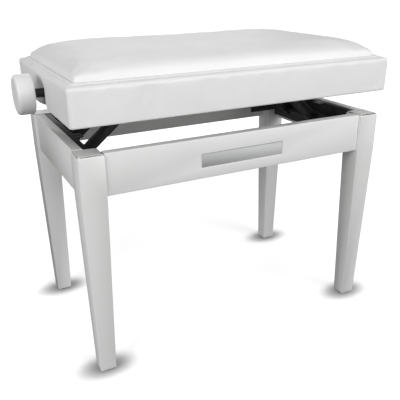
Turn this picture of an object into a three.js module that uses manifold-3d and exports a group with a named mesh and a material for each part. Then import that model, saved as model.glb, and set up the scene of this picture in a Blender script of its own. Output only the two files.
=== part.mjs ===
// Adjustable piano bench: a tapered-leg wooden frame, a padded seat on a steel lift, and a lead
// screw with a knob at each end. Millimetres, +Z up, +X along the bench, -Y towards the front.
// The origin is on the floor under the middle of the frame.
import * as THREE from 'three';
import { mergeVertices } from 'three/addons/utils/BufferGeometryUtils.js';
import Module from 'manifold-3d';

const wasm = await Module();
wasm.setup();

// ---------------------------------------------------------------- driving dimensions
const FIT = 0.3;                  // gap between pieces that touch
const RUNNING = 0.1;              // radial clearance of a pin in its bore
const SIDES = 16;                 // sides of a round section

// Wooden frame
const FRAME_LENGTH = 536;         // over the outer faces of the legs
const FRAME_WIDTH = 320;
const FRAME_TOP = 367;
const LEG_TOP = 38;               // square section beside the aprons
const LEG_FOOT = 25.5;            // square section at the floor
const LEG_CHAMFER = 2;
const APRON_HEIGHT = 64;
const APRON_THICKNESS = 15;
const APRON_SETBACK = 3;          // aprons stand back from the leg faces
const GLIDE_HEIGHT = 1.8;
const GLIDE_RADIUS = 10.5;
const PLATE_LENGTH = 148;         // plain plate on the front apron
const PLATE_HEIGHT = 21.5;
const PLATE_THICKNESS = 1;
const PLATE_RECESS = 0.5;         // depth of its face below the face of the apron
const PLATE_CENTRE = new THREE.Vector2(-4, 331.5);

// Seat, at its height in the rest pose
const SEAT_LENGTH = 550;
const SEAT_WIDTH = 330;
const SKIRT_BOTTOM = 407;
const SKIRT_THICKNESS = 8;        // padded leather on the sides
const RAIL_THICKNESS = 14;
const RAIL_LIFT = 2;              // rails stop above the skirt's hem
const BOARD_BOTTOM = 447;
const BOARD_THICKNESS = 12;
const RIM_HEIGHT = 462;           // where the top of the pad meets its sides
const CROWN = 31;                 // rise of the pad over its rim
const CROWN_POWER = new THREE.Vector2(12, 4);   // flatness along and across the seat

// Lift: arms on the frame, links half as long from their middles to the seat
const PIVOT_X = 224;              // arm pivots on the frame, seat pivots directly above
const PIVOT_HEIGHT = 338;
const SCREW_HEIGHT = 428;
const ARM_LENGTH = 140;
const STRAP_WIDTH = 18;
const STRAP_THICKNESS = 5;
const STRAP_GAP = 0.5;
const LUG_INNER = 27.5;             // distance of the seat lugs from the middle of the bench
const LUG_THICKNESS = 4;
const ROD_RADIUS = 5;
const PIN_RADIUS = 4;
const HEAD_RADIUS = 8;
const HEAD_HEIGHT = 2.5;
const NUT_BLOCK = new THREE.Vector3(24, 26, 26);
const SHEET = 3;                  // bent steel sheet of the brackets

// Screw, bushes and knobs
const SCREW_RADIUS = 5;
const SCREW_LENGTH = 600;
const BUSH_RADIUS = 7;
const KNOB_RADIUS = 30.5;
const KNOB_WIDTH = 26;
const KNOB_INNER_X = 288;
const KNOB_BORE_DEPTH = 14;
const KNOB_ROUNDING = 5;

// Base bracket and its bolts
const BRACKET_BOTTOM = 309;
const BRACKET_TOP = 366;
const BRACKET_REACH = 65;         // how far its wings run in from the short apron
const FLANGE_WIDTH = 9;
const TAB_REACH = 21.5;           // tabs of the flange above the arm pivots
const TAB_WIDTH = 18;
const WING_TOP = 358;             // the wings stop short of the flange
const WING_BOTTOM = 320;
const BOLT_RADIUS = 3.9;
const BOLT_DEPTH = 24;            // length held by the leg
const SCREW_SPREAD = 70;          // apron screws, each side of the middle
const WOOD_SCREW_RADIUS = 2.2;
const WOOD_SCREW_DEPTH = 11;

// Positions worked out from the sizes above
const apronBottom = FRAME_TOP - APRON_HEIGHT;
const legX = (FRAME_LENGTH - LEG_TOP) / 2;
const legY = (FRAME_WIDTH - LEG_TOP) / 2;
const innerX = FRAME_LENGTH / 2 - APRON_SETBACK - APRON_THICKNESS;
const innerLegY = FRAME_WIDTH / 2 - LEG_TOP;
const boltHeight = PIVOT_HEIGHT + 2;
const boltX = innerX - 11.5;
const armRise = SCREW_HEIGHT - PIVOT_HEIGHT;
const armAngle = Math.asin(armRise / ARM_LENGTH);
const nutX = PIVOT_X - Math.cos(armAngle) * ARM_LENGTH;
const middle = new THREE.Vector2((PIVOT_X + nutX) / 2, (PIVOT_HEIGHT + SCREW_HEIGHT) / 2);
const linkInner = LUG_INNER + LUG_THICKNESS + STRAP_GAP;
const armInner = linkInner + STRAP_THICKNESS + STRAP_GAP;

// ---------------------------------------------------------------- materials
const material = (color, roughness, metalness = 0) =>
  new THREE.MeshStandardMaterial({ color, roughness, metalness });
const lacquer = material(0xf1f0ee, 0.28);
const leather = material(0xf3f2f1, 0.5);
const plastic = material(0xefefee, 0.35);
const blackSteel = material(0x16171a, 0.45, 0.6);
const zincSteel = material(0xa9abb0, 0.35, 1);
const plywood = material(0xcdb58c, 0.7);
const felt = material(0x55534f, 0.95);
const plateMetal = material(0xd4d5d6, 0.35, 0.5);

// ---------------------------------------------------------------- building helpers
const bench = new THREE.Group();
bench.name = 'piano_bench';

function add(name, geometry, look, position = [0, 0, 0]) {
  const mesh = new THREE.Mesh(geometry, look);
  mesh.name = name;
  mesh.position.set(...position);
  bench.add(mesh);
  return mesh;
}

// A closed geometry as a solid, for cutting and joining.
function solid(geometry) {
  const bare = geometry.clone();
  bare.deleteAttribute('normal');
  bare.deleteAttribute('uv');
  const merged = mergeVertices(bare, 1e-4);
  return new wasm.Manifold(new wasm.Mesh({
    numProp: 3,
    vertProperties: new Float32Array(merged.attributes.position.array),
    triVerts: new Uint32Array(merged.index.array),
  }));
}

function geometryOf(body) {
  const mesh = body.getMesh();
  const geometry = new THREE.BufferGeometry();
  geometry.setAttribute('position', new THREE.BufferAttribute(mesh.vertProperties, 3));
  geometry.setIndex(new THREE.BufferAttribute(mesh.triVerts, 1));
  return geometry;
}

// A box between two corners.
function block(low, high) {
  const size = high.map((value, axis) => value - low[axis]);
  const centre = high.map((value, axis) => (value + low[axis]) / 2);
  return new THREE.BoxGeometry(...size).translate(...centre);
}

// Radius of a many-sided bore whose flats still clear a pin of the given radius.
const bore = (radius) => (radius + RUNNING) / Math.cos(Math.PI / SIDES);

const cylinderY = (radius, length) => new THREE.CylinderGeometry(radius, radius, length, SIDES);
const cylinderX = (radius, length) => cylinderY(radius, length).rotateZ(Math.PI / 2);

// A shape drawn in X and Z, given a thickness from y = inner to y = inner + thickness.
function upright(shape, inner, thickness) {
  const geometry = new THREE.ExtrudeGeometry(shape, {
    depth: thickness, bevelEnabled: false, curveSegments: SIDES / 2,
  });
  return geometry.rotateX(Math.PI / 2).translate(0, inner + thickness, 0);
}

// A flat bar with round ends and a bore at each of the given distances along it.
function strap(length, bores, inner) {
  const half = STRAP_WIDTH / 2;
  const shape = new THREE.Shape();
  shape.moveTo(0, -half);
  shape.lineTo(length, -half);
  shape.absarc(length, 0, half, -Math.PI / 2, Math.PI / 2);
  shape.lineTo(0, half);
  shape.absarc(0, 0, half, Math.PI / 2, Math.PI * 1.5);
  for (const [distance, radius] of bores) {
    shape.holes.push(new THREE.Path().absarc(distance, 0, bore(radius), 0, Math.PI * 2, true));
  }
  return upright(shape, inner, STRAP_THICKNESS);
}

// A headed pin along Y: its shank runs from y = low to y = high, with a head beyond each end.
function rivet(low, high) {
  const profile = [
    [0, low - HEAD_HEIGHT], [HEAD_RADIUS, low - HEAD_HEIGHT], [HEAD_RADIUS, low], [PIN_RADIUS, low],
    [PIN_RADIUS, high], [HEAD_RADIUS, high], [HEAD_RADIUS, high + HEAD_HEIGHT], [0, high + HEAD_HEIGHT],
  ];
  return new THREE.LatheGeometry(profile.map(([x, y]) => new THREE.Vector2(x, y)), SIDES);
}

// A bolt or screw along Y: its head is at negative y, and its shank ends at y = length.
function bolt(radius, length, headRadius, headHeight) {
  const profile = [
    [0, -headHeight], [headRadius * 0.75, -headHeight], [headRadius, 0],
    [radius, 0], [radius, length], [0, length],
  ];
  return new THREE.LatheGeometry(profile.map(([x, y]) => new THREE.Vector2(x, y)), SIDES);
}

// Mirrors a closed geometry built for the right or back, keeping its faces pointing out.
function mirrored(geometry, sx, sy) {
  const copy = geometry.clone().scale(sx, sy, 1);
  if (sx * sy > 0) return copy;
  if (!copy.index) copy.setIndex([...Array(copy.attributes.position.count).keys()]);
  const index = copy.index.array;
  for (let i = 0; i < index.length; i += 3) {
    [index[i], index[i + 1]] = [index[i + 1], index[i]];
  }
  return copy;
}

const ENDS = [['left', -1], ['right', 1]];
const SIDES_Y = [['front', -1], ['back', 1]];

// Builds a piece for the back right corner and puts a mirrored copy at every corner.
function atCorners(prefix, geometry, look) {
  for (const [end, sx] of ENDS) {
    for (const [side, sy] of SIDES_Y) {
      add(`${prefix}_${side}_${end}`, mirrored(geometry, sx, sy), look);
    }
  }
}

// ---------------------------------------------------------------- wooden frame
function legGeometry() {
  const corner = Math.SQRT1_2 * 2;
  const profile = [
    [0, GLIDE_HEIGHT], [LEG_FOOT / 2, GLIDE_HEIGHT], [LEG_TOP / 2, apronBottom],
    [LEG_TOP / 2, FRAME_TOP - LEG_CHAMFER], [LEG_TOP / 2 - LEG_CHAMFER, FRAME_TOP], [0, FRAME_TOP],
  ];
  const points = profile.map(([half, z]) => new THREE.Vector2(half * corner, z));
  const post = new THREE.LatheGeometry(points, 4, Math.PI / 4);
  post.rotateX(Math.PI / 2).translate(legX, legY, 0);
  const hole = cylinderY(bore(BOLT_RADIUS), BOLT_DEPTH * 2 + 2).translate(boltX, innerLegY, boltHeight);
  return geometryOf(solid(post).subtract(solid(hole)));
}
atCorners('leg', legGeometry(), lacquer);

function glideGeometry() {
  const top = GLIDE_HEIGHT - FIT;
  const profile = [[0, 0], [GLIDE_RADIUS - 1, 0], [GLIDE_RADIUS, 1], [GLIDE_RADIUS, top], [0, top]];
  const points = profile.map(([x, y]) => new THREE.Vector2(x, y));
  return new THREE.LatheGeometry(points, SIDES).rotateX(Math.PI / 2).translate(legX, legY, 0);
}
atCorners('glide', glideGeometry(), felt);

for (const [side, sy] of SIDES_Y) {
  const halfLength = FRAME_LENGTH / 2 - LEG_TOP - FIT;
  const outerY = FRAME_WIDTH / 2 - APRON_SETBACK;
  const board = block([-halfLength, outerY - APRON_THICKNESS, apronBottom], [halfLength, outerY, FRAME_TOP]);
  const apron = mirrored(board, 1, sy);
  if (side === 'back') {
    add('apron_back', apron, lacquer);
    continue;
  }
  const depth = PLATE_RECESS + PLATE_THICKNESS + FIT;
  const pocket = new THREE.BoxGeometry(PLATE_LENGTH, 2 * depth, PLATE_HEIGHT)
    .translate(PLATE_CENTRE.x, -outerY, PLATE_CENTRE.y);
  add('apron_front', geometryOf(solid(apron).subtract(solid(pocket))), lacquer);
  const plate = new THREE.BoxGeometry(PLATE_LENGTH - 2 * FIT, PLATE_THICKNESS, PLATE_HEIGHT - 2 * FIT);
  add('name_plate', plate, plateMetal,
    [PLATE_CENTRE.x, PLATE_RECESS + PLATE_THICKNESS / 2 - outerY, PLATE_CENTRE.y]);
}

for (const [end, sx] of ENDS) {
  const halfLength = innerLegY - FIT;
  const outer = innerX + APRON_THICKNESS;
  const apron = solid(block([innerX, -halfLength, apronBottom], [outer, halfLength, FRAME_TOP]));
  const holes = [-1, 1].map((sy) => solid(cylinderX(bore(WOOD_SCREW_RADIUS), WOOD_SCREW_DEPTH * 2 + 2)
    .translate(innerX, sy * SCREW_SPREAD, boltHeight)));
  const drilled = apron.subtract(holes[0]).subtract(holes[1]);
  add(`apron_${end}`, mirrored(geometryOf(drilled), sx, 1), lacquer);
}

// ---------------------------------------------------------------- base brackets and their bolts
function baseBracketGeometry() {
  const outer = innerX - FIT;
  const inner = outer - BRACKET_REACH;
  const halfWidth = innerLegY - FIT;
  const back = block([outer - SHEET, -halfWidth, BRACKET_BOTTOM], [outer, halfWidth, BRACKET_TOP]);
  const flangeBottom = BRACKET_TOP - SHEET;
  const flange = block([outer - FLANGE_WIDTH, -halfWidth, flangeBottom], [outer, halfWidth, BRACKET_TOP]);
  let body = solid(back).add(solid(flange));
  for (const sy of [-1, 1]) {
    const wing = block([inner, halfWidth - SHEET, WING_BOTTOM], [outer, halfWidth, WING_TOP]);
    const tabY = sy * (armInner + STRAP_THICKNESS / 2);
    const tab = block([outer - TAB_REACH, tabY - TAB_WIDTH / 2, flangeBottom],
      [outer, tabY + TAB_WIDTH / 2, BRACKET_TOP]);
    const boltHole = cylinderY(bore(BOLT_RADIUS), SHEET * 4).translate(boltX, sy * halfWidth, boltHeight);
    const screwHole = cylinderX(bore(WOOD_SCREW_RADIUS), SHEET * 4)
      .translate(outer, sy * SCREW_SPREAD, boltHeight);
    body = body.add(solid(mirrored(wing, 1, sy))).add(solid(tab));
    body = body.subtract(solid(boltHole)).subtract(solid(screwHole));
  }
  const rodHole = cylinderY(bore(ROD_RADIUS), FRAME_WIDTH).translate(PIVOT_X, 0, PIVOT_HEIGHT);
  return geometryOf(body.subtract(solid(rodHole)));
}
const baseBracket = baseBracketGeometry();
const lowerRodLength = 2 * (innerLegY + 1);
for (const [end, sx] of ENDS) {
  add(`base_bracket_${end}`, mirrored(baseBracket, sx, 1), blackSteel);
  add(`lower_pivot_rod_${end}`, cylinderY(ROD_RADIUS, lowerRodLength), zincSteel,
    [sx * PIVOT_X, 0, PIVOT_HEIGHT]);
}

{
  const headSeat = innerLegY - 2 * FIT - SHEET;
  const legBolt = bolt(BOLT_RADIUS, SHEET + BOLT_DEPTH, 7, 4.5).translate(boltX, headSeat, boltHeight);
  atCorners('leg_bolt', legBolt, zincSteel);
  const apronScrew = bolt(WOOD_SCREW_RADIUS, SHEET + WOOD_SCREW_DEPTH, 4.5, 2.5).rotateZ(-Math.PI / 2)
    .translate(innerX - 2 * FIT - SHEET, SCREW_SPREAD, boltHeight);
  atCorners('apron_screw', apronScrew, zincSteel);
}

// ---------------------------------------------------------------- lift arms, links and nuts
function armGeometry() {
  const bar = strap(ARM_LENGTH, [[0, ROD_RADIUS], [ARM_LENGTH / 2, PIN_RADIUS], [ARM_LENGTH, ROD_RADIUS]],
    armInner);
  return bar.rotateY(armAngle - Math.PI).translate(PIVOT_X, 0, PIVOT_HEIGHT);
}
atCorners('lift_arm', armGeometry(), blackSteel);

function linkGeometry() {
  const length = ARM_LENGTH / 2;
  const bar = strap(length, [[0, PIN_RADIUS], [length, PIN_RADIUS]], linkInner);
  return bar.rotateY(-armAngle).translate(middle.x, 0, middle.y);
}
atCorners('lift_link', linkGeometry(), blackSteel);

{
  const middlePin = rivet(linkInner - FIT, armInner + STRAP_THICKNESS + FIT);
  atCorners('middle_pin', middlePin.translate(middle.x, 0, middle.y), zincSteel);
  const seatPin = rivet(LUG_INNER - FIT, linkInner + STRAP_THICKNESS + FIT);
  atCorners('seat_pin', seatPin.translate(PIVOT_X, 0, SCREW_HEIGHT), zincSteel);
}

// The nut is a block on the screw with a trunnion out of each side that the arms turn on.
function crossNutGeometry() {
  const trunnion = 2 * (armInner + STRAP_THICKNESS + 3);
  const body = solid(new THREE.BoxGeometry(...NUT_BLOCK)).add(solid(cylinderY(ROD_RADIUS, trunnion)));
  return geometryOf(body.subtract(solid(cylinderX(bore(SCREW_RADIUS), NUT_BLOCK.x * 2))));
}
for (const [end, sx] of ENDS) {
  add(`cross_nut_${end}`, mirrored(crossNutGeometry(), sx, 1), zincSteel, [sx * nutX, 0, SCREW_HEIGHT]);
}

// ---------------------------------------------------------------- seat brackets
// A plate under the board with a bearing for the screw and two lugs for the links.
function seatBracketGeometry() {
  const outer = SEAT_LENGTH / 2 - SKIRT_THICKNESS - RAIL_THICKNESS - 3;
  const top = BOARD_BOTTOM - FIT;
  const halfWidth = 60;
  const lugHalf = 12;
  let body = solid(block([PIVOT_X - lugHalf - 6, -halfWidth, top - SHEET], [outer, halfWidth, top]));
  const bearing = block([outer - SHEET, -22, SCREW_HEIGHT - 14], [outer, 22, top]);
  body = body.add(solid(bearing));
  for (const sy of [-1, 1]) {
    const shape = new THREE.Shape();
    shape.moveTo(lugHalf, top - SCREW_HEIGHT);
    shape.lineTo(-lugHalf, top - SCREW_HEIGHT);
    shape.lineTo(-lugHalf, 0);
    shape.absarc(0, 0, lugHalf, Math.PI, Math.PI * 2);
    shape.holes.push(new THREE.Path().absarc(0, 0, bore(PIN_RADIUS), 0, Math.PI * 2, true));
    const lug = upright(shape, LUG_INNER, LUG_THICKNESS).translate(PIVOT_X, 0, SCREW_HEIGHT);
    body = body.add(solid(mirrored(lug, 1, sy)));
  }
  const shaftHole = cylinderX(bore(SCREW_RADIUS), SHEET * 4).translate(outer, 0, SCREW_HEIGHT);
  return geometryOf(body.subtract(solid(shaftHole)));
}
const seatBracket = seatBracketGeometry();
for (const [end, sx] of ENDS) {
  add(`seat_bracket_${end}`, mirrored(seatBracket, sx, 1), blackSteel);
}

// ---------------------------------------------------------------- screw, bushes and knobs
add('lead_screw', cylinderX(SCREW_RADIUS, SCREW_LENGTH), zincSteel, [0, 0, SCREW_HEIGHT]);

function bushGeometry() {
  const inner = SEAT_LENGTH / 2 - SKIRT_THICKNESS - RAIL_THICKNESS - 3 + FIT;
  const outer = KNOB_INNER_X - 0.5;
  const hole = bore(SCREW_RADIUS);
  const profile = [[hole, inner], [BUSH_RADIUS, inner], [BUSH_RADIUS, outer], [hole, outer], [hole, inner]];
  return new THREE.LatheGeometry(profile.map(([x, y]) => new THREE.Vector2(x, y)), SIDES);
}

// The knob's axis is along Y here, with its outer face at the high end.
function knobGeometry() {
  const hole = bore(SCREW_RADIUS);
  const points = [
    new THREE.Vector2(0, KNOB_BORE_DEPTH), new THREE.Vector2(hole, KNOB_BORE_DEPTH),
    new THREE.Vector2(hole, 0), new THREE.Vector2(KNOB_RADIUS - 2, 0), new THREE.Vector2(KNOB_RADIUS, 2),
  ];
  const steps = 4;
  for (let i = 0; i <= steps; i += 1) {
    const angle = (i / steps) * Math.PI / 2;
    const radius = KNOB_RADIUS - KNOB_ROUNDING * (1 - Math.cos(angle));
    points.push(new THREE.Vector2(radius, KNOB_WIDTH - KNOB_ROUNDING * (1 - Math.sin(angle))));
  }
  points.push(new THREE.Vector2(0, KNOB_WIDTH));
  return new THREE.LatheGeometry(points, SIDES * 2).translate(0, KNOB_INNER_X, 0);
}
for (const [end, sx] of ENDS) {
  const turn = -sx * Math.PI / 2;
  add(`screw_bush_${end}`, bushGeometry().rotateZ(turn), blackSteel, [0, 0, SCREW_HEIGHT]);
  add(`knob_${end}`, knobGeometry().rotateZ(turn), plastic, [0, 0, SCREW_HEIGHT]);
}

// ---------------------------------------------------------------- seat
const boardHalfX = SEAT_LENGTH / 2 - SKIRT_THICKNESS - FIT;
const boardHalfY = SEAT_WIDTH / 2 - SKIRT_THICKNESS - FIT;
const boardTop = BOARD_BOTTOM + BOARD_THICKNESS;
const board = block([-boardHalfX, -boardHalfY, BOARD_BOTTOM], [boardHalfX, boardHalfY, boardTop]);
add('seat_board', board, plywood);

// A board across the end of the seat with a slot from its lower edge up to the bush.
function slotted(halfWidth, low, high, outer, thickness) {
  const half = BUSH_RADIUS + FIT;
  const shape = new THREE.Shape();
  shape.moveTo(-halfWidth, low);
  shape.lineTo(-half, low);
  shape.lineTo(-half, SCREW_HEIGHT);
  shape.absarc(0, SCREW_HEIGHT, half, Math.PI, 0, true);
  shape.lineTo(half, low);
  shape.lineTo(halfWidth, low);
  shape.lineTo(halfWidth, high);
  shape.lineTo(-halfWidth, high);
  const geometry = new THREE.ExtrudeGeometry(shape, {
    depth: thickness, bevelEnabled: false, curveSegments: SIDES / 2,
  });
  return geometry.rotateX(Math.PI / 2).rotateZ(Math.PI / 2).translate(outer - thickness, 0, 0);
}

const railBottom = SKIRT_BOTTOM + RAIL_LIFT;
const railTop = BOARD_BOTTOM - FIT;
const railInnerY = boardHalfY - RAIL_THICKNESS;
for (const [side, sy] of SIDES_Y) {
  const rail = block([-boardHalfX, railInnerY, railBottom], [boardHalfX, boardHalfY, railTop]);
  add(`seat_rail_${side}`, mirrored(rail, 1, sy), plywood);
  const skirt = block([-SEAT_LENGTH / 2, SEAT_WIDTH / 2 - SKIRT_THICKNESS, SKIRT_BOTTOM],
    [SEAT_LENGTH / 2, SEAT_WIDTH / 2, boardTop]);
  add(`skirt_${side}`, mirrored(skirt, 1, sy), leather);
}
for (const [end, sx] of ENDS) {
  const rail = slotted(railInnerY - FIT, railBottom, railTop, boardHalfX, RAIL_THICKNESS);
  add(`seat_rail_${end}`, mirrored(rail, sx, 1), plywood);
  const skirt = slotted(boardHalfY, SKIRT_BOTTOM, boardTop, SEAT_LENGTH / 2, SKIRT_THICKNESS);
  add(`skirt_${end}`, mirrored(skirt, sx, 1), leather);
}

// The pad's top is flat along most of the seat and rounds down to a straight rim all round.
function padGeometry() {
  const bottom = boardTop + FIT;
  const rim = RIM_HEIGHT - bottom;
  const pad = new THREE.BoxGeometry(SEAT_LENGTH, SEAT_WIDTH, rim, 20, 12, 1);
  pad.translate(0, 0, bottom + rim / 2);
  const place = pad.attributes.position;
  for (let i = 0; i < place.count; i += 1) {
    if (place.getZ(i) < bottom + rim / 2) continue;
    const along = Math.abs(place.getX(i)) / (SEAT_LENGTH / 2);
    const across = Math.abs(place.getY(i)) / (SEAT_WIDTH / 2);
    const rise = CROWN * (1 - along ** CROWN_POWER.x) * (1 - across ** CROWN_POWER.y);
    place.setZ(i, RIM_HEIGHT + rise);
  }
  return pad;
}
add('cushion_pad', padGeometry(), leather);

export default bench;
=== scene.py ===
"""A white adjustable piano bench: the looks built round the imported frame. Metres, +Z up."""
import math

import bmesh
import bpy
import numpy as np
from mathutils import Matrix, Vector, kdtree
from mathutils.bvhtree import BVHTree


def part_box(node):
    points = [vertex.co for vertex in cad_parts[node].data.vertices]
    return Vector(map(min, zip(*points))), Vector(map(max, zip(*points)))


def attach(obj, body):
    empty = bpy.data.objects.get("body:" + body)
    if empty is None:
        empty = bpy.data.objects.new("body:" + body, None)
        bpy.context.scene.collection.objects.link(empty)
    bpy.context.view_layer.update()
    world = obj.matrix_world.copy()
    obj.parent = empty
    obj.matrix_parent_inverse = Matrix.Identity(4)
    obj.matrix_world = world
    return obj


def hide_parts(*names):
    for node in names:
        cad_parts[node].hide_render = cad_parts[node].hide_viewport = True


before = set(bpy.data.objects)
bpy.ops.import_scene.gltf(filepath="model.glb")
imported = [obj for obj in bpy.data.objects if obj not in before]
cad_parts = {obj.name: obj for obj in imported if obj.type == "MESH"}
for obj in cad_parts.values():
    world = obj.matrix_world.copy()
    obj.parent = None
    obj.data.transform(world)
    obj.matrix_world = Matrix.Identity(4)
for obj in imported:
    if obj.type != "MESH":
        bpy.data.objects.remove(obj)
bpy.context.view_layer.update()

MM = 0.001
ENDS = (("left", -1), ("right", 1))
SIDES = (("front", -1), ("back", 1))
CORNERS = [(side, end) for end, _ in ENDS for side, _ in SIDES]


# ------------------------------------------------------------------ camera
CAMERA_PLACE = (-0.4377, -0.8541, 0.5921)
CAMERA_YAW, CAMERA_PITCH, CAMERA_ROLL = -27.02, -22.45, -0.54     # degrees
SENSOR_WIDTH, FOCAL_LENGTH = 36, 48.85                            # millimetres


def make_camera():
    yaw, pitch, roll = (math.radians(angle) for angle in (CAMERA_YAW, CAMERA_PITCH, CAMERA_ROLL))
    forward = Vector((-math.sin(yaw) * math.cos(pitch), math.cos(yaw) * math.cos(pitch), math.sin(pitch)))
    right = Vector((math.cos(yaw), math.sin(yaw), 0))
    up = right.cross(forward)
    turned_right = math.cos(roll) * right + math.sin(roll) * up
    turned_up = -math.sin(roll) * right + math.cos(roll) * up
    data = bpy.data.cameras.new("camera")
    data.sensor_width = SENSOR_WIDTH
    data.lens = FOCAL_LENGTH
    data.clip_end = 100
    camera = bpy.data.objects.new("camera", data)
    turn = Matrix((turned_right, turned_up, -forward)).transposed().to_4x4()
    camera.matrix_world = Matrix.Translation(CAMERA_PLACE) @ turn
    bpy.context.scene.collection.objects.link(camera)
    bpy.context.scene.camera = camera


make_camera()


# ------------------------------------------------------------------ materials
class Shader:
    """A principled material with short names for the nodes that the looks need."""

    def __init__(self, name, color, roughness, metallic=0.0, **sockets):
        self.material = bpy.data.materials.new(name)
        self.material.use_nodes = True
        self.nodes = self.material.node_tree.nodes
        self.links = self.material.node_tree.links
        self.bsdf = self.nodes["Principled BSDF"]
        self.material.diffuse_color = (*color, 1)
        self.bsdf.inputs["Base Color"].default_value = (*color, 1)
        self.bsdf.inputs["Roughness"].default_value = roughness
        self.bsdf.inputs["Metallic"].default_value = metallic
        for socket, value in sockets.items():
            self.bsdf.inputs[socket.replace("_", " ")].default_value = value
        self.place = self.nodes.new("ShaderNodeTexCoord").outputs["Object"]
        self.normal = None

    def stretched(self, scale):
        """Object coordinates scaled by three factors."""
        mapping = self.nodes.new("ShaderNodeMapping")
        mapping.inputs["Scale"].default_value = scale
        self.links.new(self.place, mapping.inputs["Vector"])
        return mapping.outputs["Vector"]

    def noise(self, scale, detail=4.0, rough=0.5, place=None):
        node = self.nodes.new("ShaderNodeTexNoise")
        node.inputs["Scale"].default_value = scale
        node.inputs["Detail"].default_value = detail
        node.inputs["Roughness"].default_value = rough
        self.links.new(place or self.place, node.inputs["Vector"])
        return node.outputs["Fac"]

    def cells(self, scale):
        node = self.nodes.new("ShaderNodeTexVoronoi")
        node.inputs["Scale"].default_value = scale
        self.links.new(self.place, node.inputs["Vector"])
        return node.outputs["Distance"]

    def remap(self, value, low, high, to_low, to_high):
        node = self.nodes.new("ShaderNodeMapRange")
        limits = {"From Min": low, "From Max": high, "To Min": to_low, "To Max": to_high}
        for socket, number in limits.items():
            node.inputs[socket].default_value = number
        self.links.new(value, node.inputs["Value"])
        return node.outputs["Result"]

    def ramp(self, value, stops):
        """A colour ramp with (position, colour) stops into the base colour."""
        node = self.nodes.new("ShaderNodeValToRGB")
        elements = node.color_ramp.elements
        while len(elements) < len(stops):
            elements.new(0.5)
        for element, (position, color) in zip(elements, stops):
            element.position = position
            element.color = (*color, 1)
        self.links.new(value, node.inputs["Fac"])
        self.links.new(node.outputs["Color"], self.bsdf.inputs["Base Color"])

    def worn_edges(self, color, amount):
        """Fades the base colour towards another one along raised edges, unevenly."""
        raised = self.nodes.new("ShaderNodeNewGeometry").outputs["Pointiness"]
        edge = self.remap(raised, 0.52, 0.62, 0, amount)
        patchy = self.nodes.new("ShaderNodeMath")
        patchy.operation = "MULTIPLY"
        self.links.new(edge, patchy.inputs[0])
        self.links.new(self.remap(self.noise(90, 4), 0.35, 0.65, 0.3, 1), patchy.inputs[1])
        mix = self.nodes.new("ShaderNodeMix")
        mix.data_type = "RGBA"
        base = self.bsdf.inputs["Base Color"].links[0].from_socket
        factor, under, over, result = mix.inputs[0], mix.inputs[6], mix.inputs[7], mix.outputs[2]
        self.links.new(patchy.outputs["Value"], factor)
        self.links.new(base, under)
        over.default_value = (*color, 1)
        self.links.new(result, self.bsdf.inputs["Base Color"])

    def roughness(self, value, low, high, spread=(0.3, 0.7)):
        self.links.new(self.remap(value, *spread, low, high), self.bsdf.inputs["Roughness"])

    def bump(self, value, distance, strength=1.0):
        """Adds a bump on top of the ones already there."""
        node = self.nodes.new("ShaderNodeBump")
        node.inputs["Distance"].default_value = distance
        node.inputs["Strength"].default_value = strength
        self.links.new(value, node.inputs["Height"])
        if self.normal is not None:
            self.links.new(self.normal, node.inputs["Normal"])
        self.normal = node.outputs["Normal"]
        self.links.new(self.normal, self.bsdf.inputs["Normal"])


def lacquer(name, along):
    """White satin lacquer over wood. The faint grain runs along one axis: 0, 1 or 2."""
    shader = Shader(name, (0.86, 0.86, 0.855), 0.3, Coat_Weight=0.25, Coat_Roughness=0.12)
    scale = [1.0, 1.0, 1.0]
    scale[along] = 0.045
    grain = shader.noise(260, 5, 0.55, shader.stretched(scale))
    shader.ramp(shader.noise(9, 3), [(0.3, (0.845, 0.845, 0.84)), (0.7, (0.875, 0.875, 0.872))])
    shader.worn_edges((0.8, 0.79, 0.77), 0.5)
    shader.roughness(shader.noise(30, 3), 0.29, 0.34, (0.1, 0.9))
    shader.bump(grain, 0.00008, 0.6)
    shader.bump(shader.noise(500, 2), 0.00002, 0.5)
    return shader.material


def leather():
    """White synthetic leather: pebbled grain with fine wrinkles between soft, broad ones."""
    shader = Shader("white_leather", (0.9, 0.9, 0.9), 0.42, Sheen_Weight=0.08, Sheen_Roughness=0.4)
    warp = shader.noise(14, 3)
    shader.ramp(warp, [(0.25, (0.875, 0.876, 0.878)), (0.75, (0.915, 0.915, 0.915))])
    shader.roughness(shader.noise(55, 4), 0.36, 0.5)
    shader.bump(shader.noise(45, 5, 0.6), 0.0004, 0.35)
    shader.bump(shader.cells(700), 0.0003, 0.6)
    shader.bump(shader.noise(1600, 3), 0.00006, 0.5)
    return shader.material


def plastic():
    shader = Shader("white_plastic", (0.9, 0.9, 0.895), 0.33, Coat_Weight=0.1, Coat_Roughness=0.2)
    shader.ramp(shader.noise(22, 2), [(0.3, (0.89, 0.89, 0.885)), (0.7, (0.915, 0.915, 0.91))])
    shader.roughness(shader.noise(160, 3), 0.28, 0.42)
    shader.bump(shader.noise(900, 2), 0.00004, 0.6)
    return shader.material


def black_steel():
    """Black powder coat with its fine orange peel, worn a little lighter in patches."""
    shader = Shader("black_steel", (0.012, 0.012, 0.013), 0.45)
    shader.ramp(shader.noise(70, 5, 0.6), [(0.45, (0.009, 0.009, 0.01)), (0.8, (0.03, 0.03, 0.032))])
    shader.worn_edges((0.09, 0.09, 0.095), 0.7)
    shader.roughness(shader.noise(240, 3), 0.38, 0.58)
    shader.bump(shader.noise(700, 3), 0.00012, 0.6)
    return shader.material


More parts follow.
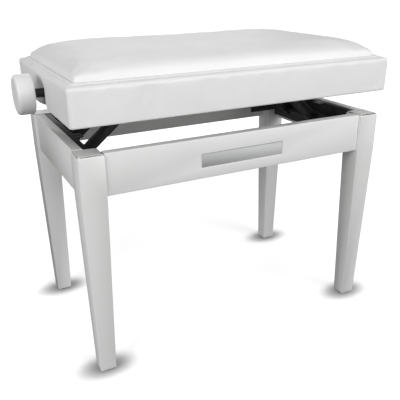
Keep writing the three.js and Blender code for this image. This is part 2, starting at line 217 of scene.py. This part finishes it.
def zinc_steel(name, along):
    """Dark zinc plate with the drawing lines of the bar along one axis."""
    shader = Shader(name, (0.3, 0.3, 0.31), 0.38, 1.0)
    scale = [1.0, 1.0, 1.0]
    scale[along] = 0.03
    lines = shader.noise(1500, 3, 0.6, shader.stretched(scale))
    shader.ramp(shader.noise(60, 4), [(0.3, (0.2, 0.2, 0.205)), (0.7, (0.36, 0.36, 0.37))])
    shader.roughness(shader.noise(150, 3), 0.3, 0.5)
    shader.bump(lines, 0.00005, 0.5)
    return shader.material


def plywood():
    """Bare plywood: grain along the sheet and a thin line for each ply on its edges."""
    shader = Shader("plywood", (0.6, 0.46, 0.3), 0.68)
    grain = shader.noise(55, 6, 0.6, shader.stretched((0.12, 1.0, 1.0)))
    shader.ramp(grain, [(0.25, (0.5, 0.36, 0.22)), (0.55, (0.64, 0.49, 0.33)), (0.8, (0.7, 0.56, 0.4))])
    plies = shader.nodes.new("ShaderNodeTexWave")
    plies.bands_direction = "Z"
    plies.inputs["Scale"].default_value = 110
    plies.inputs["Distortion"].default_value = 0.6
    shader.links.new(shader.place, plies.inputs["Vector"])
    shader.roughness(grain, 0.6, 0.8)
    shader.bump(plies.outputs["Fac"], 0.0001, 0.3)
    shader.bump(grain, 0.00015, 0.5)
    return shader.material


def felt():
    """Pressed felt: tangled short fibres."""
    shader = Shader("felt", (0.12, 0.118, 0.115), 0.95, Sheen_Weight=0.4, Sheen_Roughness=0.6)
    fibres = shader.noise(2200, 6, 0.75)
    shader.ramp(fibres, [(0.3, (0.08, 0.078, 0.075)), (0.7, (0.17, 0.167, 0.162))])
    shader.bump(fibres, 0.0004, 0.8)
    return shader.material


def plate_finish():
    """The plain plate: satin, faintly brushed along its length."""
    shader = Shader("plate", (0.56, 0.565, 0.57), 0.5)
    lines = shader.noise(900, 3, 0.6, shader.stretched((0.02, 1.0, 1.0)))
    shader.ramp(lines, [(0.3, (0.53, 0.535, 0.54)), (0.7, (0.59, 0.595, 0.6))])
    shader.roughness(lines, 0.44, 0.58)
    shader.bump(lines, 0.00004, 0.5)
    return shader.material


def thread():
    """White sewing thread with the twist of its yarns."""
    shader = Shader("thread", (0.88, 0.88, 0.875), 0.6, Sheen_Weight=0.2)
    twist = shader.nodes.new("ShaderNodeTexWave")
    twist.bands_direction = "DIAGONAL"
    twist.inputs["Scale"].default_value = 900
    shader.links.new(shader.place, twist.inputs["Vector"])
    shader.ramp(shader.noise(300, 2), [(0.3, (0.82, 0.82, 0.81)), (0.7, (0.9, 0.9, 0.895))])
    shader.bump(twist.outputs["Fac"], 0.0001, 0.7)
    return shader.material


LACQUER = [lacquer(f"white_lacquer_{axis}", number) for number, axis in enumerate("xyz")]
ZINC = [zinc_steel(f"zinc_steel_{axis}", number) for number, axis in enumerate("xyz")]
LEATHER = leather()
PLASTIC = plastic()
BLACK = black_steel()
PLYWOOD = plywood()
FELT = felt()
PLATE = plate_finish()
THREAD = thread()


# ------------------------------------------------------------------ the CAD nodes that stay
LEG_EDGE, APRON_EDGE, PLY_EDGE = 2.2 * MM, 1.2 * MM, 0.8 * MM
BAR_EDGE, BRACKET_EDGE, PLATE_EDGE = 0.6 * MM, 0.5 * MM, 0.25 * MM


def dress(node, material, bevel):
    """Gives a CAD node its material and rounds its sharp edges."""
    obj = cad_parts[node]
    obj.data.materials.clear()
    obj.data.materials.append(material)
    for polygon in obj.data.polygons:
        polygon.use_smooth = True
    weld = obj.modifiers.new("weld", "WELD")
    weld.merge_threshold = 0.00001
    rounding = obj.modifiers.new("rounding", "BEVEL")
    rounding.width = bevel
    rounding.segments = 3
    rounding.limit_method = "ANGLE"
    rounding.angle_limit = math.radians(35)
    rounding.harden_normals = True


for side, end in CORNERS:
    dress(f"leg_{side}_{end}", LACQUER[2], LEG_EDGE)
    dress(f"lift_arm_{side}_{end}", BLACK, BAR_EDGE)
    dress(f"lift_link_{side}_{end}", BLACK, BAR_EDGE)
for side, _ in SIDES:
    dress(f"apron_{side}", LACQUER[0], APRON_EDGE)
    dress(f"seat_rail_{side}", PLYWOOD, PLY_EDGE)
for end, _ in ENDS:
    dress(f"apron_{end}", LACQUER[1], APRON_EDGE)
    dress(f"seat_rail_{end}", PLYWOOD, PLY_EDGE)
    dress(f"base_bracket_{end}", BLACK, BRACKET_EDGE)
    dress(f"seat_bracket_{end}", BLACK, BRACKET_EDGE)
    dress(f"cross_nut_{end}", ZINC[1], BRACKET_EDGE)
dress("seat_board", PLYWOOD, PLY_EDGE)
dress("name_plate", PLATE, PLATE_EDGE)


# ------------------------------------------------------------------ mesh helpers
def new_piece(name, vertices, faces, material):
    mesh = bpy.data.meshes.new(name)
    mesh.from_pydata([tuple(v) for v in vertices], [], faces)
    mesh.materials.append(material)
    for polygon in mesh.polygons:
        polygon.use_smooth = True
    mesh.validate()
    obj = bpy.data.objects.new(name, mesh)
    bpy.context.scene.collection.objects.link(obj)
    return obj


def turned(name, profile, base, axis, material, sides=40, sharp=35):
    """A piece turned on a lathe. The profile is (radius, distance) pairs from one end of the axis
    to the other, and the distances are measured from base along axis."""
    axis = Vector(axis).normalized()
    across = axis.orthogonal().normalized()
    third = axis.cross(across)
    bm = bmesh.new()
    rings = []
    for radius, distance in profile:
        centre = Vector(base) + axis * distance
        if radius < 1e-7:
            rings.append([bm.verts.new(centre)])
            continue
        ring = []
        for k in range(sides):
            a = 2 * math.pi * k / sides
            ring.append(bm.verts.new(centre + radius * (math.cos(a) * across + math.sin(a) * third)))
        rings.append(ring)
    for one, two in zip(rings, rings[1:]):
        for k in range(sides):
            a, b = one[k % len(one)], one[(k + 1) % len(one)]
            c, d = two[(k + 1) % len(two)], two[k % len(two)]
            corners = list(dict.fromkeys((a, b, c, d)))
            if len(corners) > 2:
                bm.faces.new(corners)
    bmesh.ops.recalc_face_normals(bm, faces=bm.faces)
    mesh = bpy.data.meshes.new(name)
    bm.to_mesh(mesh)
    bm.free()
    mesh.materials.append(material)
    mesh.shade_smooth()
    mesh.set_sharp_from_angle(angle=math.radians(sharp))
    obj = bpy.data.objects.new(name, mesh)
    bpy.context.scene.collection.objects.link(obj)
    return obj


def face_outwards(mesh, weld=0, slivers=0):
    """Turns the faces outwards, after joining points closer than weld and removing slivers."""
    bm = bmesh.new()
    bm.from_mesh(mesh)
    if weld:
        bmesh.ops.remove_doubles(bm, verts=bm.verts, dist=weld)
    if slivers:
        bmesh.ops.dissolve_degenerate(bm, dist=slivers, edges=bm.edges)
    bmesh.ops.recalc_face_normals(bm, faces=bm.faces)
    bm.to_mesh(mesh)
    bm.free()


def tube_faces(rings, sides, base=0, capped=True):
    """Faces between neighbouring rings of points numbered from base, with a cap on each end."""
    faces = []
    for low in range(base, base + (rings - 1) * sides, sides):
        high = low + sides
        for k in range(sides):
            n = (k + 1) % sides
            faces.append((low + k, low + n, high + n, high + k))
    if capped:
        faces.append(tuple(base + k for k in reversed(range(sides))))
        faces.append(tuple(base + (rings - 1) * sides + k for k in range(sides)))
    return faces


def arc(centre_radius, centre_distance, radius, start, stop, steps):
    """Points of a rounded edge in a turned profile, angles in degrees from the radius direction."""
    angles = [math.radians(start + (stop - start) * k / steps) for k in range(steps + 1)]
    return [(centre_radius + radius * math.cos(a), centre_distance + radius * math.sin(a)) for a in angles]


def span(node, axis):
    low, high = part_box(node)
    return low[axis], high[axis]


def half_span(node, axis):
    low, high = span(node, axis)
    return (high - low) / 2


def middle(node):
    low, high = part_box(node)
    return (low + high) / 2


def stand_in(piece, node, body):
    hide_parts(node)
    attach(piece, body)


# ------------------------------------------------------------------ knobs, screw and bushes
def make_knob(end, sign):
    """A moulded disc with full round edges, a shallow dish in its face and a collar on its inner side."""
    node = f"knob_{end}"
    low, high = span(node, 0)
    width = high - low
    radius = half_span(node, 2)
    centre = middle(node)
    inner = Vector((low if sign > 0 else high, 0, centre.z))
    hole, hole_depth = 5.3 * MM, 0.5 * width
    collar, recess = 9.8 * MM, 1.6 * MM
    edge, small = 6 * MM, 3 * MM
    dish, dish_depth, steps = radius - edge - 2 * MM, 0.5 * MM, 5
    profile = [(0, hole_depth), (hole, hole_depth), (hole, 0), (9 * MM, 0), (9.6 * MM, 0.6 * MM)]
    profile += [(collar, recess), (radius - 8 * MM, recess), (radius - 6 * MM, 0.4 * MM)]
    profile += arc(radius - small, small, small, -90, 0, 5)
    profile += arc(radius - edge, width - edge, edge, 0, 90, 8)
    for k in range(steps, 0, -1):
        profile.append((dish * k / steps, width - dish_depth * (1 - (k / steps) ** 2)))
    profile.append((0, width - dish_depth))
    knob = turned(f"knob_body_{end}", profile, inner, (sign, 0, 0), PLASTIC, sides=96, sharp=50)
    stand_in(knob, node, "screw")


def make_screw():
    """The screw's thread is real: left-handed on the left half, right-handed on the right half."""
    low, high = span("lead_screw", 0)
    height = middle("lead_screw").z
    radius = half_span("lead_screw", 2)
    pitch, depth, sides, steps_per_turn = 4 * MM, 0.9 * MM, 24, 8
    thread_start, thread_stop, run_out = 60 * MM, 235 * MM, 2 * MM
    crest, flank = 0.62, 0.24      # of half a pitch
    count = round((high - low) / pitch * steps_per_turn)
    xs = np.linspace(low, high, count + 1)
    angles = np.arange(sides) / sides * 2 * math.pi
    rings = []
    for x in xs:
        turns = abs(x) / pitch - angles / (2 * math.pi)
        wave = np.abs((turns % 1.0) * 2 - 1)
        cut = np.clip((crest - wave) / flank, 0, 1) * depth
        fade = np.clip(min(abs(x) - thread_start, thread_stop - abs(x)) / run_out, 0, 1)
        r = radius - cut * fade
        rings.append(np.stack([np.full(sides, x), r * np.cos(angles), height + r * np.sin(angles)], 1))
    screw = new_piece("threaded_screw", np.concatenate(rings), tube_faces(len(rings), sides), ZINC[0])
    face_outwards(screw.data)
    screw.data.set_sharp_from_angle(angle=math.radians(50))
    stand_in(screw, "lead_screw", "screw")


def make_bush(end, sign):
    node = f"screw_bush_{end}"
    low, high = span(node, 0)
    length = high - low
    radius = half_span(node, 2)
    inner = Vector((low if sign > 0 else high, 0, middle(node).z))
    hole, inner_edge, outer_edge = 5.15 * MM, 0.4 * MM, 0.8 * MM
    profile = [(hole, 0), (radius - inner_edge, 0), (radius, inner_edge), (radius, length - outer_edge)]
    profile += [(radius - outer_edge, length), (hole, length), (hole, 0)]
    bush = turned(f"shaft_bush_{end}", profile, inner, (sign, 0, 0), BLACK, sides=48)
    face_outwards(bush.data, weld=1e-6)
    stand_in(bush, node, "seat")


make_screw()
for end, sign in ENDS:
    make_knob(end, sign)
    make_bush(end, sign)


# ------------------------------------------------------------------ pins, rods, bolts and glides
def dome(radius, height, start, direction, steps=5):
    """Profile points of a domed head, from its rim to its top."""
    points = []
    for k in range(steps + 1):
        a = math.pi / 2 * k / steps
        points.append((radius * math.cos(a), start + direction * height * math.sin(a)))
    points[-1] = (0, start + direction * height)
    return points


def make_pin(node, body):
    """A rivet along Y with a low domed head at each end."""
    low, high = span(node, 1)
    centre = middle(node)
    head = half_span(node, 2)
    shank, flat = 4 * MM, 2.5 * MM
    rise = flat * 0.8
    length = high - low
    lower = list(reversed(dome(head, rise, rise, -1)))
    upper = dome(head, rise, length - rise, 1)
    profile = lower + [(head, flat), (shank, flat), (shank, length - flat), (head, length - flat)] + upper
    pin = turned(f"{node}_rivet", profile, (centre.x, low, centre.z), (0, 1, 0), BLACK, sides=32)
    stand_in(pin, node, body)


def make_rod(end):
    node = f"lower_pivot_rod_{end}"
    low, high = span(node, 1)
    centre = middle(node)
    radius, tip = 5 * MM, 0.8 * MM
    length = high - low
    profile = [(0, 0), (radius - tip, 0), (radius, tip)]
    profile += [(radius, length - tip), (radius - tip, length), (0, length)]
    rod = turned(f"pivot_rod_{end}", profile, (centre.x, low, centre.z), (0, 1, 0), BLACK, sides=36)
    stand_in(rod, node, "frame")


BOLT = {"shank": 3.9 * MM, "head": 7 * MM, "height": 4.5 * MM}
SCREW = {"shank": 2.2 * MM, "head": 4.5 * MM, "height": 2.5 * MM}


def make_fastener(node, name, axis, sign, shank, head, height):
    """A round-headed bolt or screw with a round recess in its head, driven outwards along an axis."""
    near, far = sorted(span(node, axis), key=abs)
    base, way = middle(node), Vector((0, 0, 0))
    base[axis], way[axis] = near + sign * height, sign
    length = abs(far - near) - height
    socket, floor = head * 0.45, -height * 0.45
    profile = [(0, floor), (socket * 0.98, floor), (socket, -height), (head * 0.72, -height)]
    profile += [(head * 0.92, -height * 0.75), (head, -height * 0.35), (head, 0), (shank, 0)]
    profile += [(shank, length - shank * 0.6), (shank * 0.3, length), (0, length)]
    bolt = turned(name, profile, base, way, BLACK, sides=36)
    stand_in(bolt, node, "frame")


def make_glide(side, end):
    node = f"glide_{side}_{end}"
    centre = middle(node)
    radius = half_span(node, 0)
    top = span(node, 2)[1]
    edge = 0.9 * MM
    profile = [(0, 0)] + arc(radius - edge, edge, edge, -90, 0, 4) + [(radius, top), (0, top)]
    glide = turned(f"felt_glide_{side}_{end}", profile, (centre.x, centre.y, 0), (0, 0, 1), FELT, sides=40)
    stand_in(glide, node, "frame")


for side, end in CORNERS:
    make_pin(f"middle_pin_{side}_{end}", f"arm_{end}")
    make_pin(f"seat_pin_{side}_{end}", "seat")
    make_glide(side, end)
    corner = f"{side}_{end}"
    make_fastener(f"leg_bolt_{corner}", f"leg_screw_{corner}", 1, dict(SIDES)[side], **BOLT)
    make_fastener(f"apron_screw_{corner}", f"bracket_screw_{corner}", 0, dict(ENDS)[end], **SCREW)
for end, _ in ENDS:
    make_rod(end)


# ------------------------------------------------------------------ the leather cover
SEAT_X = span("skirt_front", 0)[1]
SEAT_Y = span("skirt_back", 1)[1]
HEM = span("skirt_front", 2)[0]
BOARD_X = span("seat_board", 0)[1]
BOARD_TOP = span("seat_board", 2)[1]
RAIL_BOTTOM = span("seat_rail_front", 2)[0]
SHAFT_HEIGHT = middle("lead_screw").z
CORNER = 6 * MM                # radius of the upright corners
RIM = 462 * MM                 # top of the rounded edge
ROUNDING = 6 * MM
STITCH_INSET = 10.5 * MM       # line of stitches, in from the sides
SEAM_INSET = 19 * MM           # crease where the crown starts
SEAM_HEIGHT = 465 * MM
END_SHIFT = 3.5 * MM           # how much closer the crease lies to the ends than to the sides
CROWN_CORNER = 7 * MM
CROWN_RISE = 28 * MM
CROWN_POWERS = (6, 6)
CROWN_FULLNESS = 0.35
CROWN_SWELL, WALL_SWELL = 2.2 * MM, 0.45 * MM   # furthest that the cloth simulation moves the cover
COVER_GAP = 0.25 * MM          # between the cover and the board and rails
HEM_FOLD, HEM_TURN_IN = 2.5 * MM, 12 * MM
SEAM_GROOVE = (1.3 * MM, 3 * MM)       # width and depth
STITCH_GROOVE = (0.9 * MM, 0.9 * MM)
BORDER_PUFF = (3 * MM, 0.9 * MM)       # width and height of the swelling between them
TENT_WIDTH, TENT_DEPTH = 27 * MM, 3.2 * MM       # narrow hollow in the end walls at the shaft
HOLLOW_WIDTH, HOLLOW_DEPTH = 85 * MM, 2.2 * MM   # wide, shallow one round it
DENT_FADE = (436 * MM, 457 * MM)                 # heights between which both fade out
SLOT_HALF_WIDTH = 8.5 * MM
CLOTH_VOXEL, CLOTH_FRAMES = 6 * MM, 20
STITCH_PITCH, STITCH_LENGTH, STITCH_RADIUS = 6 * MM, 4.4 * MM, 0.45 * MM
LONG_STEPS, SHORT_STEPS, CORNER_STEPS = 110, 90, 9


def outline(inset, corner):
    """Points round a rounded rectangle that lies inside the seat's outline by inset."""
    half_x = SEAT_X - inset + END_SHIFT * min(inset / SEAM_INSET, 1)
    half_y = SEAT_Y - inset
    corner = max(min(corner, half_y), 0)
    straight_x, straight_y = half_x - corner, half_y - corner
    points = []
    corners = [
        ((straight_x, -straight_y), -90, (half_x, -straight_y), (half_x, straight_y), SHORT_STEPS),
        ((straight_x, straight_y), 0, (straight_x, half_y), (-straight_x, half_y), LONG_STEPS),
        ((-straight_x, straight_y), 90, (-half_x, straight_y), (-half_x, -straight_y), SHORT_STEPS),
        ((-straight_x, -straight_y), 180, (-straight_x, -half_y), (straight_x, -half_y), LONG_STEPS),
    ]
    for centre, start, first, last, steps in corners:
        for k in range(CORNER_STEPS):
            a = math.radians(start + 90 * k / CORNER_STEPS)
            points.append((centre[0] + corner * math.cos(a), centre[1] + corner * math.sin(a)))
        for k in range(steps):
            t = k / steps
            points.append((first[0] + (last[0] - first[0]) * t, first[1] + (last[1] - first[1]) * t))
    return np.array(points)


def smooth_step(value, low, high):
    t = np.clip((value - low) / (high - low), 0, 1)
    return t * t * (3 - 2 * t)


def crown_height(points):
    """Height of the padded top over the seam."""
    x = np.clip(np.abs(points[:, 0]) / (SEAT_X - SEAM_INSET + END_SHIFT), 0, 1)
    y = np.clip(np.abs(points[:, 1]) / (SEAT_Y - SEAM_INSET), 0, 1)
    return CROWN_RISE * ((1 - x ** CROWN_POWERS[0]) * (1 - y ** CROWN_POWERS[1])) ** CROWN_FULLNESS


def groove(inset, centre, width, depth):
    return -depth * math.exp(-((inset - centre) / width) ** 2)


def cover_rings():
    """Rings of points of the closed cover, from the middle of the board's top outwards and down
    inside, round the hem, up outside and in over the crown."""
    rings = []

    def ring(inset, corner, height):
        points = outline(inset, corner)
        heights = np.full(len(points), height)
        rings.append(np.column_stack([points, heights]))

    inner_inset = SEAT_X - BOARD_X - COVER_GAP
    for inset in (SEAT_Y, 120 * MM, 70 * MM, 30 * MM):
        ring(inset, 4 * MM, BOARD_TOP + COVER_GAP)
    ring(inner_inset, 1.5 * MM, BOARD_TOP + COVER_GAP)
    for height in (BOARD_TOP - 4 * MM, 440 * MM, 425 * MM, 415 * MM, RAIL_BOTTOM - COVER_GAP):
        ring(inner_inset, 1.5 * MM, height)
    turn_in = inner_inset + HEM_TURN_IN
    ring(turn_in, 2 * MM, RAIL_BOTTOM - COVER_GAP)
    ring(turn_in + 0.6 * MM, 2 * MM, HEM + 0.9 * MM)
    ring(turn_in, 2 * MM, HEM)
    ring(inner_inset, 4 * MM, HEM)
    for k in range(5):
        a = math.pi / 2 * k / 4
        inset = HEM_FOLD * (1 - math.sin(a))
        ring(inset, CORNER - inset, HEM + HEM_FOLD * (1 - math.cos(a)))
    wall_bottom, wall_top = HEM + HEM_FOLD, RIM - ROUNDING
    for k in range(1, 12):
        ring(0, CORNER, wall_bottom + (wall_top - wall_bottom) * k / 12)
    for k in range(8):
        a = math.pi / 2 * k / 7
        inset = ROUNDING * (1 - math.cos(a))
        ring(inset, CORNER + inset * 0.1, wall_top + ROUNDING * math.sin(a))
    border_insets = np.arange(8.7, 19.01, 0.6) * MM
    for inset in border_insets:
        rise = (SEAM_HEIGHT - RIM) * (inset - ROUNDING) / (SEAM_INSET - ROUNDING)
        height = RIM + rise + groove(inset, SEAM_INSET, *SEAM_GROOVE)
        height += groove(inset, STITCH_INSET, *STITCH_GROOVE)
        height -= groove(inset, (STITCH_INSET + SEAM_INSET) / 2, *BORDER_PUFF)
        ring(inset, CORNER + inset * 0.1, height)
    crown_insets = [19.3, 19.6, 20, 20.5, 21.2, 22.2, 24, 26, 28.5, 31.5, 35, 39, 43.5, 48.5, 54, 60,
                    66.5, 73.5, 81, 89, 97, 105, 113, 121, 129, 137, 145, 153, 160]
    for inset in [value * MM for value in crown_insets] + [SEAT_Y]:
        points = outline(inset, CROWN_CORNER)
        heights = SEAM_HEIGHT + crown_height(points) + groove(inset, SEAM_INSET, *SEAM_GROOVE)
        rings.append(np.column_stack([points, heights]))
    return rings


def shape_walls(rings):
    """Draws the ends of the cover in round the shaft: a narrow hollow inside a wide, shallow one."""
    for ring in rings:
        x, y, z = ring[:, 0], ring[:, 1], ring[:, 2]
        outside = np.abs(x) > SEAT_X - 3 * MM
        up = 1 - smooth_step(z, *DENT_FADE)
        tent = np.clip(1 - np.abs(y) / TENT_WIDTH, 0, 1)
        hollow = np.clip(1 - np.abs(y) / HOLLOW_WIDTH, 0, 1) ** 2
        dent = up * (TENT_DEPTH * tent + HOLLOW_DEPTH * hollow)
        ring[:, 0] = np.where(outside, x - np.sign(x) * dent, x)


def inflate(cover):
    """Fills the cover with a cloth simulation under pressure, run on an evenly meshed copy. The copy
    is held at the hem, inside and along the sewn crease. Its movement is then given to the cover."""
    proxy = bpy.data.objects.new("cloth_proxy", cover.data.copy())
    bpy.context.scene.collection.objects.link(proxy)
    remesh = proxy.modifiers.new("remesh", "REMESH")
    remesh.mode = "VOXEL"
    remesh.voxel_size = CLOTH_VOXEL
    graph = bpy.context.evaluated_depsgraph_get()
    proxy.data = bpy.data.meshes.new_from_object(proxy.evaluated_get(graph))
    proxy.modifiers.clear()
    start = np.array([v.co for v in proxy.data.vertices])
    x, y, z = np.abs(start[:, 0]), np.abs(start[:, 1]), start[:, 2]
    inset = np.minimum(SEAT_X - x, SEAT_Y - y)
    inside = inset > 5 * MM
    held = (z < HEM + 6 * MM) | (inside & (z < BOARD_TOP + 3 * MM))
    held |= (np.abs(inset - SEAM_INSET) < 4 * MM) & (z < SEAM_HEIGHT + 6 * MM)
    group = proxy.vertex_groups.new(name="held")
    group.add([int(i) for i in np.nonzero(held)[0]], 1.0, "REPLACE")
    cloth = proxy.modifiers.new("cloth", "CLOTH")
    settings = cloth.settings
    settings.quality = 4
    settings.mass = 0.3
    settings.tension_stiffness = 25
    settings.compression_stiffness = 25
    settings.shear_stiffness = 15
    settings.bending_stiffness = 1.5
    settings.shrink_min = -0.014
    settings.use_pressure = True
    settings.uniform_pressure_force = 4
    settings.vertex_group_mass = "held"
    settings.effector_weights.gravity = 0
    cloth.collision_settings.use_collision = False
    cloth.point_cache.frame_start, cloth.point_cache.frame_end = 1, CLOTH_FRAMES
    scene = bpy.context.scene
    for number in range(1, CLOTH_FRAMES + 1):
        scene.frame_set(number)
    graph = bpy.context.evaluated_depsgraph_get()
    blown = proxy.evaluated_get(graph).to_mesh()
    moved = np.array([v.co for v in blown.vertices]) - start
    scene.frame_set(1)
    length = np.linalg.norm(moved, axis=1, keepdims=True)
    cap = np.where(start[:, 2] > SEAM_HEIGHT + 1 * MM, CROWN_SWELL, WALL_SWELL)[:, None]
    moved *= cap * np.tanh(length / cap) / np.maximum(length, 1e-9)
    tree = kdtree.KDTree(len(start))
    for index, point in enumerate(start):
        tree.insert(point, index)
    tree.balance()
    for vertex in cover.data.vertices:
        near = tree.find_n(vertex.co, 8)
        weights = np.array([1 / (distance + 1 * MM) ** 2 for _, _, distance in near])
        shift = (moved[[index for _, index, _ in near]] * weights[:, None]).sum(0) / weights.sum()
        vertex.co += Vector(shift)
    bpy.data.objects.remove(proxy)


def make_cover():
    rings = cover_rings()
    shape_walls(rings)
    faces = tube_faces(len(rings), len(rings[0]), capped=False)
    cover = new_piece("leather_cover", np.concatenate(rings), faces, LEATHER)
    face_outwards(cover.data, weld=2e-6, slivers=1e-6)
    inflate(cover)
    add_stitches(cover)
    for end, sign in ENDS:
        cut_notch(cover, end, sign)
    for polygon in cover.data.polygons:
        polygon.use_smooth = True
    cover.data.set_sharp_from_angle(angle=math.radians(60))
    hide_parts("cushion_pad", "skirt_front", "skirt_back", "skirt_left", "skirt_right")
    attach(cover, "seat")


def add_stitches(cover):
    """Short threads lying on the cover along the line of stitches."""
    path = outline(STITCH_INSET, CORNER + STITCH_INSET * 0.1)
    path = np.vstack([path, path[:1]])
    along = np.concatenate([[0], np.cumsum(np.linalg.norm(np.diff(path, axis=0), axis=1))])
    surface = BVHTree.FromPolygons([v.co for v in cover.data.vertices],
                                   [p.vertices[:] for p in cover.data.polygons])

    above = 0.6

    def point(distance):
        x, y = (np.interp(distance % along[-1], along, path[:, axis]) for axis in (0, 1))
        hit = surface.ray_cast(Vector((x, y, above)), Vector((0, 0, -1)))[0]
        return Vector((x, y, hit.z))

    vertices, faces = [], []
    sides, steps = 8, 6
    for number in range(int(along[-1] / STITCH_PITCH)):
        first = number * STITCH_PITCH
        centres = [point(first + STITCH_LENGTH * k / steps) for k in range(steps + 1)]
        way = (centres[-1] - centres[0]).normalized()
        across = Vector((0, 0, 1)).cross(way)
        faces += tube_faces(len(centres), sides, base=len(vertices))
        for k, centre in enumerate(centres):
            swell = math.sin(math.pi * (k + 0.35) / 6.7)
            radius = STITCH_RADIUS * (0.35 + 0.65 * swell ** 0.5)
            lift = STITCH_RADIUS * (0.9 * swell - 0.5)
            for side in range(sides):
                a = 2 * math.pi * side / sides
                offset = radius * math.cos(a) * across + Vector((0, 0, radius * math.sin(a) + lift))
                vertices.append(centre + offset)
    stitches = new_piece("cover_stitches", vertices, faces, THREAD)
    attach(stitches, "seat")


def cut_notch(cover, end, sign):
    """Cuts the slot that the shaft comes out of: straight up from the hem, round at its top."""
    half = SLOT_HALF_WIDTH
    start, stop = sign * (BOARD_X - 16 * MM), sign * (SEAT_X + 10 * MM)
    section = [(-half, HEM - 10 * MM), (half, HEM - 10 * MM)]
    for a in np.linspace(0, math.pi, 13):
        section.append((half * math.cos(a), SHAFT_HEIGHT + half * math.sin(a)))
    low = [(start, y, z) for y, z in section]
    high = [(stop, y, z) for y, z in section]
    n = len(section)
    faces = [tuple(range(n)), tuple(range(2 * n - 1, n - 1, -1))]
    faces += [(k, (k + 1) % n, n + (k + 1) % n, n + k) for k in range(n)]
    tool = new_piece(f"notch_tool_{end}", low + high, faces, LEATHER)
    face_outwards(tool.data)
    cut = cover.modifiers.new("notch", "BOOLEAN")
    cut.operation = "DIFFERENCE"
    cut.solver = "EXACT"
    cut.object = tool
    graph = bpy.context.evaluated_depsgraph_get()
    mesh = bpy.data.meshes.new_from_object(cover.evaluated_get(graph))
    cover.modifiers.clear()
    cover.data = mesh
    bpy.data.objects.remove(tool)


make_cover()


# ------------------------------------------------------------------ stage and light
PAINTED_SHADOW_SIZE = (0.075, 0.045)    # half length and width of the soft shadow painted on the floor round each foot
FLOOR_PROFILE = [(0, 0), (3, 0), (6, 0), (7.4, 0.35), (8.5, 1.3), (9, 2.8), (9, 9)]
SKY = ((0.3, 0.05), (0.46, 0.55), (0.56, 0.6), (1.0, 0.2))     # (height, brightness)


def make_stage():
    """A white floor that the camera sees bright but that throws no light up at the bench, under a
    studio sky that is pale above and dark below. A soft shadow is painted into the floor's colour and
    glow round each foot, and the glow is painted dimmer towards the bench."""
    shader = Shader("floor", (0.95, 0.95, 0.95), 0.7)
    shader.bsdf.inputs["Emission Color"].default_value = (1, 1, 1, 1)
    shader.bsdf.inputs["Specular IOR Level"].default_value = 0
    foot = middle("glide_back_right")

    def vector_math(operation, first, second=None):
        node = shader.nodes.new("ShaderNodeVectorMath")
        node.operation = operation
        shader.links.new(first, node.inputs[0])
        if second is not None:
            node.inputs[1].default_value = second
        return node.outputs["Value" if operation == "LENGTH" else "Vector"]

    # Painted shadow: a soft oval round each foot that darkens the floor's colour and glow.
    from_foot = vector_math("SUBTRACT", vector_math("ABSOLUTE", shader.place), (foot.x, foot.y, 0))
    spread = vector_math("MULTIPLY", from_foot, (1 / PAINTED_SHADOW_SIZE[0], 1 / PAINTED_SHADOW_SIZE[1], 0))
    clear = shader.remap(vector_math("LENGTH", spread), 0.1, 1.0, 0, 1)
    clear.node.interpolation_type = "SMOOTHERSTEP"
    # Painted shadow in the floor's colour: 0.38 at a foot, 0.95 clear of it.
    shader.links.new(shader.remap(clear, 0, 1, 0.38, 0.95), shader.bsdf.inputs["Base Color"])
    # The floor's glow, with painted shade: dimmed in the painted shadow round each foot and towards the
    # bench.
    floor_glow_with_painted_shade = shader.nodes.new("ShaderNodeMath")
    floor_glow_with_painted_shade.operation = "MULTIPLY"
    shader.links.new(shader.remap(clear, 0, 1, 0.15, 1), floor_glow_with_painted_shade.inputs[0])
    shader.links.new(shader.remap(vector_math("LENGTH", shader.place), 0.3, 1.2, 0.5, 0.8), floor_glow_with_painted_shade.inputs[1])
    shader.links.new(floor_glow_with_painted_shade.outputs["Value"], shader.bsdf.inputs["Emission Strength"])
    floor = turned("floor", FLOOR_PROFILE, (0, 0, 0), (0, 0, 1), shader.material, sides=64, sharp=60)
    floor.data.flip_normals()
    floor.visible_diffuse = False
    floor.visible_glossy = False
    world = bpy.data.worlds.new("studio")
    world.use_nodes = True
    nodes, links = world.node_tree.nodes, world.node_tree.links
    split = nodes.new("ShaderNodeSeparateXYZ")
    links.new(nodes.new("ShaderNodeTexCoord").outputs["Generated"], split.inputs["Vector"])
    fade = nodes.new("ShaderNodeValToRGB")
    elements = fade.color_ramp.elements
    elements.new(0.5)
    elements.new(0.6)
    for element, (height, level) in zip(elements, SKY):
        element.position = height
        element.color = (level, level, level, 1)
    half_turn = nodes.new("ShaderNodeMapRange")
    half_turn.inputs["From Min"].default_value = -1
    links.new(split.outputs["Z"], half_turn.inputs["Value"])
    links.new(half_turn.outputs["Result"], fade.inputs["Fac"])
    links.new(fade.outputs["Color"], nodes["Background"].inputs["Color"])
    bpy.context.scene.world = world
    bpy.context.scene.view_settings.view_transform = "Standard"


def soft_light(name, place, target, size, watts):
    data = bpy.data.lights.new(name, "AREA")
    data.shape = "RECTANGLE"
    data.size, data.size_y = size
    data.energy = watts
    lamp = bpy.data.objects.new(name, data)
    lamp.location = place
    lamp.rotation_euler = (Vector(target) - Vector(place)).to_track_quat("-Z", "Y").to_euler()
    bpy.context.scene.collection.objects.link(lamp)


make_stage()
soft_light("key", (1.1, -2.4, 1.5), (0, 0, 0.25), (2.0, 1.4), watts=34.5)
soft_light("top", (0.1, -0.2, 2.6), (0, 0, 0.3), (2.4, 2.0), watts=3)
soft_light("fill", (-2.6, -1.5, 1.4), (0, 0, 0.2), (1.6, 1.4), watts=36)
soft_light("back", (0.9, 2.6, 1.6), (0, 0, 0.3), (2.0, 1.4), watts=9)
